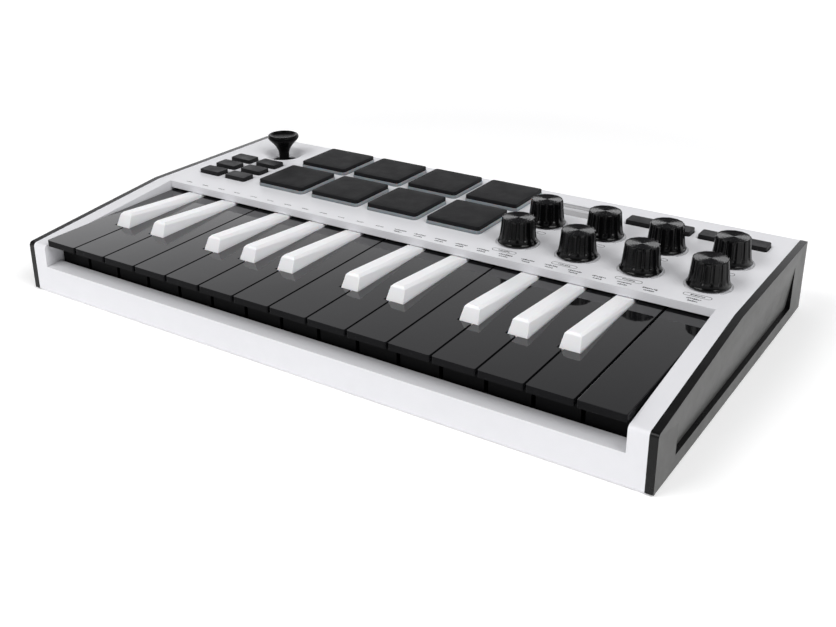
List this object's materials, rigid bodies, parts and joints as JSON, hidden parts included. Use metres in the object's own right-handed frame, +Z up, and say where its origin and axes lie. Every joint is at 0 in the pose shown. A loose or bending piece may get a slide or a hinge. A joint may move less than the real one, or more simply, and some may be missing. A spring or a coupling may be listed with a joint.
{
  "type": "midi keyboard",
  "caption": "Compact keyboard controller with small sprung keys, square rubber drum pads, fluted rotary knobs, small buttons, a display window and a thumb joystick.",
  "frame": {"origin": "centre of the footprint, on the surface that the rubber feet stand on", "axes": "+X towards the player's right, along the keys' row; +Y from the key fronts to the rear; +Z up"},
  "size_m": [0.318, 0.177, 0.0456],
  "materials": {
    "case_white": "satin moulded ABS, very fine texture",
    "base_black": "matte textured ABS",
    "cheek_black": "satin moulded ABS",
    "frame_black": "plain moulded ABS",
    "circuit_green": "solder-masked circuit board",
    "foot_rubber": "matte rubber",
    "screw_steel": "zinc plated",
    "key_black": "high gloss",
    "key_white": "satin gloss",
    "pad_rubber": "matte silicone rubber",
    "pad_rim": "frosted translucent silicone",
    "knob_black": "gloss with a spun top",
    "button_rubber": "matte silicone rubber",
    "display_glass": "polished dark window",
    "panel_print": "screen-printed ink"
  },
  "bodies": {
    "case": {"top_case": "case_white", "bottom_case": "base_black", "end_cheeks": "cheek_black", "key_frame": "frame_black", "electronics": "circuit_green", "rubber_feet": "foot_rubber", "case_screws": "screw_steel"},
    "natural_key_01": {"natural_key_01": "key_black"},
    "natural_key_02": {"natural_key_02": "key_black"},
    "natural_key_03": {"natural_key_03": "key_black"},
    "natural_key_04": {"natural_key_04": "key_black"},
    "natural_key_05": {"natural_key_05": "key_black"},
    "natural_key_06": {"natural_key_06": "key_black"},
    "natural_key_07": {"natural_key_07": "key_black"},
    "natural_key_08": {"natural_key_08": "key_black"},
    "natural_key_09": {"natural_key_09": "key_black"},
    "natural_key_10": {"natural_key_10": "key_black"},
    "natural_key_11": {"natural_key_11": "key_black"},
    "natural_key_12": {"natural_key_12": "key_black"},
    "natural_key_13": {"natural_key_13": "key_black"},
    "natural_key_14": {"natural_key_14": "key_black"},
    "natural_key_15": {"natural_key_15": "key_black"},
    "sharp_key_01": {"sharp_key_01": "key_white"},
    "sharp_key_02": {"sharp_key_02": "key_white"},
    "sharp_key_03": {"sharp_key_03": "key_white"},
    "sharp_key_04": {"sharp_key_04": "key_white"},
    "sharp_key_05": {"sharp_key_05": "key_white"},
    "sharp_key_06": {"sharp_key_06": "key_white"},
    "sharp_key_07": {"sharp_key_07": "key_white"},
    "sharp_key_08": {"sharp_key_08": "key_white"},
    "sharp_key_09": {"sharp_key_09": "key_white"},
    "sharp_key_10": {"sharp_key_10": "key_white"},
    "pad_1": {"pad_1": "pad_rubber"},
    "pad_2": {"pad_2": "pad_rubber"},
    "pad_3": {"pad_3": "pad_rubber"},
    "pad_4": {"pad_4": "pad_rubber"},
    "pad_5": {"pad_5": "pad_rubber"},
    "pad_6": {"pad_6": "pad_rubber"},
    "pad_7": {"pad_7": "pad_rubber"},
    "pad_8": {"pad_8": "pad_rubber"},
    "knob_1": {"knob_1": "knob_black"},
    "knob_2": {"knob_2": "knob_black"},
    "knob_3": {"knob_3": "knob_black"},
    "knob_4": {"knob_4": "knob_black"},
    "knob_5": {"knob_5": "knob_black"},
    "knob_6": {"knob_6": "knob_black"},
    "knob_7": {"knob_7": "knob_black"},
    "knob_8": {"knob_8": "knob_black"},
    "button_01": {"button_01": "button_rubber"},
    "button_02": {"button_02": "button_rubber"},
    "button_03": {"button_03": "button_rubber"},
    "button_04": {"button_04": "button_rubber"},
    "button_05": {"button_05": "button_rubber"},
    "button_06": {"button_06": "button_rubber"},
    "button_07": {"button_07": "button_rubber"},
    "button_08": {"button_08": "button_rubber"},
    "button_09": {"button_09": "button_rubber"},
    "button_10": {"button_10": "button_rubber"},
    "joystick_gimbal": {"joystick_gimbal": "frame_black"},
    "joystick_stick": {"joystick_stick": "knob_black"}
  },
  "joints": [
    {"name": "natural_key_01_press", "type": "hinge", "parent": "case", "child": "natural_key_01", "pos_m": [0, 0.031, 0.0178], "axis": [1, 0, 0], "range_deg": [0, 2.5], "stiffness_Nm_per_rad": 0.4, "springref_deg": -6.88},
    {"name": "natural_key_02_press", "type": "hinge", "parent": "case", "child": "natural_key_02", "pos_m": [0, 0.031, 0.0178], "axis": [1, 0, 0], "range_deg": [0, 2.5], "stiffness_Nm_per_rad": 0.4, "springref_deg": -6.88},
    {"name": "natural_key_03_press", "type": "hinge", "parent": "case", "child": "natural_key_03", "pos_m": [0, 0.031, 0.0178], "axis": [1, 0, 0], "range_deg": [0, 2.5], "stiffness_Nm_per_rad": 0.4, "springref_deg": -6.88},
    {"name": "natural_key_04_press", "type": "hinge", "parent": "case", "child": "natural_key_04", "pos_m": [0, 0.031, 0.0178], "axis": [1, 0, 0], "range_deg": [0, 2.5], "stiffness_Nm_per_rad": 0.4, "springref_deg": -6.88},
    {"name": "natural_key_05_press", "type": "hinge", "parent": "case", "child": "natural_key_05", "pos_m": [0, 0.031, 0.0178], "axis": [1, 0, 0], "range_deg": [0, 2.5], "stiffness_Nm_per_rad": 0.4, "springref_deg": -6.88},
    {"name": "natural_key_06_press", "type": "hinge", "parent": "case", "child": "natural_key_06", "pos_m": [0, 0.031, 0.0178], "axis": [1, 0, 0], "range_deg": [0, 2.5], "stiffness_Nm_per_rad": 0.4, "springref_deg": -6.88},
    {"name": "natural_key_07_press", "type": "hinge", "parent": "case", "child": "natural_key_07", "pos_m": [0, 0.031, 0.0178], "axis": [1, 0, 0], "range_deg": [0, 2.5], "stiffness_Nm_per_rad": 0.4, "springref_deg": -6.88},
    {"name": "natural_key_08_press", "type": "hinge", "parent": "case", "child": "natural_key_08", "pos_m": [0, 0.031, 0.0178], "axis": [1, 0, 0], "range_deg": [0, 2.5], "stiffness_Nm_per_rad": 0.4, "springref_deg": -6.88},
    {"name": "natural_key_09_press", "type": "hinge", "parent": "case", "child": "natural_key_09", "pos_m": [0, 0.031, 0.0178], "axis": [1, 0, 0], "range_deg": [0, 2.5], "stiffness_Nm_per_rad": 0.4, "springref_deg": -6.88},
    {"name": "natural_key_10_press", "type": "hinge", "parent": "case", "child": "natural_key_10", "pos_m": [0, 0.031, 0.0178], "axis": [1, 0, 0], "range_deg": [0, 2.5], "stiffness_Nm_per_rad": 0.4, "springref_deg": -6.88},
    {"name": "natural_key_11_press", "type": "hinge", "parent": "case", "child": "natural_key_11", "pos_m": [0, 0.031, 0.0178], "axis": [1, 0, 0], "range_deg": [0, 2.5], "stiffness_Nm_per_rad": 0.4, "springref_deg": -6.88},
    {"name": "natural_key_12_press", "type": "hinge", "parent": "case", "child": "natural_key_12", "pos_m": [0, 0.031, 0.0178], "axis": [1, 0, 0], "range_deg": [0, 2.5], "stiffness_Nm_per_rad": 0.4, "springref_deg": -6.88},
    {"name": "natural_key_13_press", "type": "hinge", "parent": "case", "child": "natural_key_13", "pos_m": [0, 0.031, 0.0178], "axis": [1, 0, 0], "range_deg": [0, 2.5], "stiffness_Nm_per_rad": 0.4, "springref_deg": -6.88},
    {"name": "natural_key_14_press", "type": "hinge", "parent": "case", "child": "natural_key_14", "pos_m": [0, 0.031, 0.0178], "axis": [1, 0, 0], "range_deg": [0, 2.5], "stiffness_Nm_per_rad": 0.4, "springref_deg": -6.88},
    {"name": "natural_key_15_press", "type": "hinge", "parent": "case", "child": "natural_key_15", "pos_m": [0, 0.031, 0.0178], "axis": [1, 0, 0], "range_deg": [0, 2.5], "stiffness_Nm_per_rad": 0.4, "springref_deg": -6.88},
    {"name": "sharp_key_01_press", "type": "hinge", "parent": "case", "child": "sharp_key_01", "pos_m": [0, 0.031, 0.0178], "axis": [1, 0, 0], "range_deg": [0, 2.5], "stiffness_Nm_per_rad": 0.4, "springref_deg": -6.88},
    {"name": "sharp_key_02_press", "type": "hinge", "parent": "case", "child": "sharp_key_02", "pos_m": [0, 0.031, 0.0178], "axis": [1, 0, 0], "range_deg": [0, 2.5], "stiffness_Nm_per_rad": 0.4, "springref_deg": -6.88},
    {"name": "sharp_key_03_press", "type": "hinge", "parent": "case", "child": "sharp_key_03", "pos_m": [0, 0.031, 0.0178], "axis": [1, 0, 0], "range_deg": [0, 2.5], "stiffness_Nm_per_rad": 0.4, "springref_deg": -6.88},
    {"name": "sharp_key_04_press", "type": "hinge", "parent": "case", "child": "sharp_key_04", "pos_m": [0, 0.031, 0.0178], "axis": [1, 0, 0], "range_deg": [0, 2.5], "stiffness_Nm_per_rad": 0.4, "springref_deg": -6.88},
    {"name": "sharp_key_05_press", "type": "hinge", "parent": "case", "child": "sharp_key_05", "pos_m": [0, 0.031, 0.0178], "axis": [1, 0, 0], "range_deg": [0, 2.5], "stiffness_Nm_per_rad": 0.4, "springref_deg": -6.88},
    {"name": "sharp_key_06_press", "type": "hinge", "parent": "case", "child": "sharp_key_06", "pos_m": [0, 0.031, 0.0178], "axis": [1, 0, 0], "range_deg": [0, 2.5], "stiffness_Nm_per_rad": 0.4, "springref_deg": -6.88},
    {"name": "sharp_key_07_press", "type": "hinge", "parent": "case", "child": "sharp_key_07", "pos_m": [0, 0.031, 0.0178], "axis": [1, 0, 0], "range_deg": [0, 2.5], "stiffness_Nm_per_rad": 0.4, "springref_deg": -6.88},
    {"name": "sharp_key_08_press", "type": "hinge", "parent": "case", "child": "sharp_key_08", "pos_m": [0, 0.031, 0.0178], "axis": [1, 0, 0], "range_deg": [0, 2.5], "stiffness_Nm_per_rad": 0.4, "springref_deg": -6.88},
    {"name": "sharp_key_09_press", "type": "hinge", "parent": "case", "child": "sharp_key_09", "pos_m": [0, 0.031, 0.0178], "axis": [1, 0, 0], "range_deg": [0, 2.5], "stiffness_Nm_per_rad": 0.4, "springref_deg": -6.88},
    {"name": "sharp_key_10_press", "type": "hinge", "parent": "case", "child": "sharp_key_10", "pos_m": [0, 0.031, 0.0178], "axis": [1, 0, 0], "range_deg": [0, 2.5], "stiffness_Nm_per_rad": 0.4, "springref_deg": -6.88},
    {"name": "pad_1_press", "type": "slide", "parent": "case", "child": "pad_1", "axis": [0, 0, 1], "range_m": [-0.0008, 0], "stiffness_N_per_m": 2000, "springref_m": 0.0005},
    {"name": "pad_2_press", "type": "slide", "parent": "case", "child": "pad_2", "axis": [0, 0, 1], "range_m": [-0.0008, 0], "stiffness_N_per_m": 2000, "springref_m": 0.0005},
    {"name": "pad_3_press", "type": "slide", "parent": "case", "child": "pad_3", "axis": [0, 0, 1], "range_m": [-0.0008, 0], "stiffness_N_per_m": 2000, "springref_m": 0.0005},
    {"name": "pad_4_press", "type": "slide", "parent": "case", "child": "pad_4", "axis": [0, 0, 1], "range_m": [-0.0008, 0], "stiffness_N_per_m": 2000, "springref_m": 0.0005},
    {"name": "pad_5_press", "type": "slide", "parent": "case", "child": "pad_5", "axis": [0, 0, 1], "range_m": [-0.0008, 0], "stiffness_N_per_m": 2000, "springref_m": 0.0005},
    {"name": "pad_6_press", "type": "slide", "parent": "case", "child": "pad_6", "axis": [0, 0, 1], "range_m": [-0.0008, 0], "stiffness_N_per_m": 2000, "springref_m": 0.0005},
    {"name": "pad_7_press", "type": "slide", "parent": "case", "child": "pad_7", "axis": [0, 0, 1], "range_m": [-0.0008, 0], "stiffness_N_per_m": 2000, "springref_m": 0.0005},
    {"name": "pad_8_press", "type": "slide", "parent": "case", "child": "pad_8", "axis": [0, 0, 1], "range_m": [-0.0008, 0], "stiffness_N_per_m": 2000, "springref_m": 0.0005},
    {"name": "button_01_press", "type": "slide", "parent": "case", "child": "button_01", "axis": [0, 0, 1], "range_m": [-0.0008, 0], "stiffness_N_per_m": 1000, "springref_m": 0.0005},
    {"name": "button_02_press", "type": "slide", "parent": "case", "child": "button_02", "axis": [0, 0, 1], "range_m": [-0.0008, 0], "stiffness_N_per_m": 1000, "springref_m": 0.0005},
    {"name": "button_03_press", "type": "slide", "parent": "case", "child": "button_03", "axis": [0, 0, 1], "range_m": [-0.0008, 0], "stiffness_N_per_m": 1000, "springref_m": 0.0005},
    {"name": "button_04_press", "type": "slide", "parent": "case", "child": "button_04", "axis": [0, 0, 1], "range_m": [-0.0008, 0], "stiffness_N_per_m": 1000, "springref_m": 0.0005},
    {"name": "button_05_press", "type": "slide", "parent": "case", "child": "button_05", "axis": [0, 0, 1], "range_m": [-0.0008, 0], "stiffness_N_per_m": 1000, "springref_m": 0.0005},
    {"name": "button_06_press", "type": "slide", "parent": "case", "child": "button_06", "axis": [0, 0, 1], "range_m": [-0.0008, 0], "stiffness_N_per_m": 1000, "springref_m": 0.0005},
    {"name": "button_07_press", "type": "slide", "parent": "case", "child": "button_07", "axis": [0, 0, 1], "range_m": [-0.0008, 0], "stiffness_N_per_m": 1000, "springref_m": 0.0005},
    {"name": "button_08_press", "type": "slide", "parent": "case", "child": "button_08", "axis": [0, 0, 1], "range_m": [-0.0008, 0], "stiffness_N_per_m": 1000, "springref_m": 0.0005},
    {"name": "button_09_press", "type": "slide", "parent": "case", "child": "button_09", "axis": [0, 0, 1], "range_m": [-0.0008, 0], "stiffness_N_per_m": 1000, "springref_m": 0.0005},
    {"name": "button_10_press", "type": "slide", "parent": "case", "child": "button_10", "axis": [0, 0, 1], "range_m": [-0.0008, 0], "stiffness_N_per_m": 1000, "springref_m": 0.0005},
    {"name": "knob_1_turn", "type": "hinge", "parent": "case", "child": "knob_1", "pos_m": [0.0495, 0.0178, 0.0334], "axis": [0, 0, 1], "continuous": true},
    {"name": "knob_2_turn", "type": "hinge", "parent": "case", "child": "knob_2", "pos_m": [0.0789, 0.0178, 0.0334], "axis": [0, 0, 1], "continuous": true},
    {"name": "knob_3_turn", "type": "hinge", "parent": "case", "child": "knob_3", "pos_m": [0.1083, 0.0178, 0.0334], "axis": [0, 0, 1], "continuous": true},
    {"name": "knob_4_turn", "type": "hinge", "parent": "case", "child": "knob_4", "pos_m": [0.1377, 0.0178, 0.0334], "axis": [0, 0, 1], "continuous": true},
    {"name": "knob_5_turn", "type": "hinge", "parent": "case", "child": "knob_5", "pos_m": [0.0495, 0.0462, 0.0334], "axis": [0, 0, 1], "continuous": true},
    {"name": "knob_6_turn", "type": "hinge", "parent": "case", "child": "knob_6", "pos_m": [0.0789, 0.0462, 0.0334], "axis": [0, 0, 1], "continuous": true},
    {"name": "knob_7_turn", "type": "hinge", "parent": "case", "child": "knob_7", "pos_m": [0.1083, 0.0462, 0.0334], "axis": [0, 0, 1], "continuous": true},
    {"name": "knob_8_turn", "type": "hinge", "parent": "case", "child": "knob_8", "pos_m": [0.1377, 0.0462, 0.0334], "axis": [0, 0, 1], "continuous": true},
    {"name": "joystick_tilt_fore_aft", "type": "hinge", "parent": "case", "child": "joystick_gimbal", "pos_m": [-0.1272, 0.0662, 0.0225], "axis": [1, 0, 0], "range_deg": [-14, 14], "stiffness_Nm_per_rad": 0.12},
    {"name": "joystick_tilt_side", "type": "hinge", "parent": "joystick_gimbal", "child": "joystick_stick", "pos_m": [-0.1272, 0.0662, 0.0225], "axis": [0, 1, 0], "range_deg": [-14, 14], "stiffness_Nm_per_rad": 0.12}
  ]
}
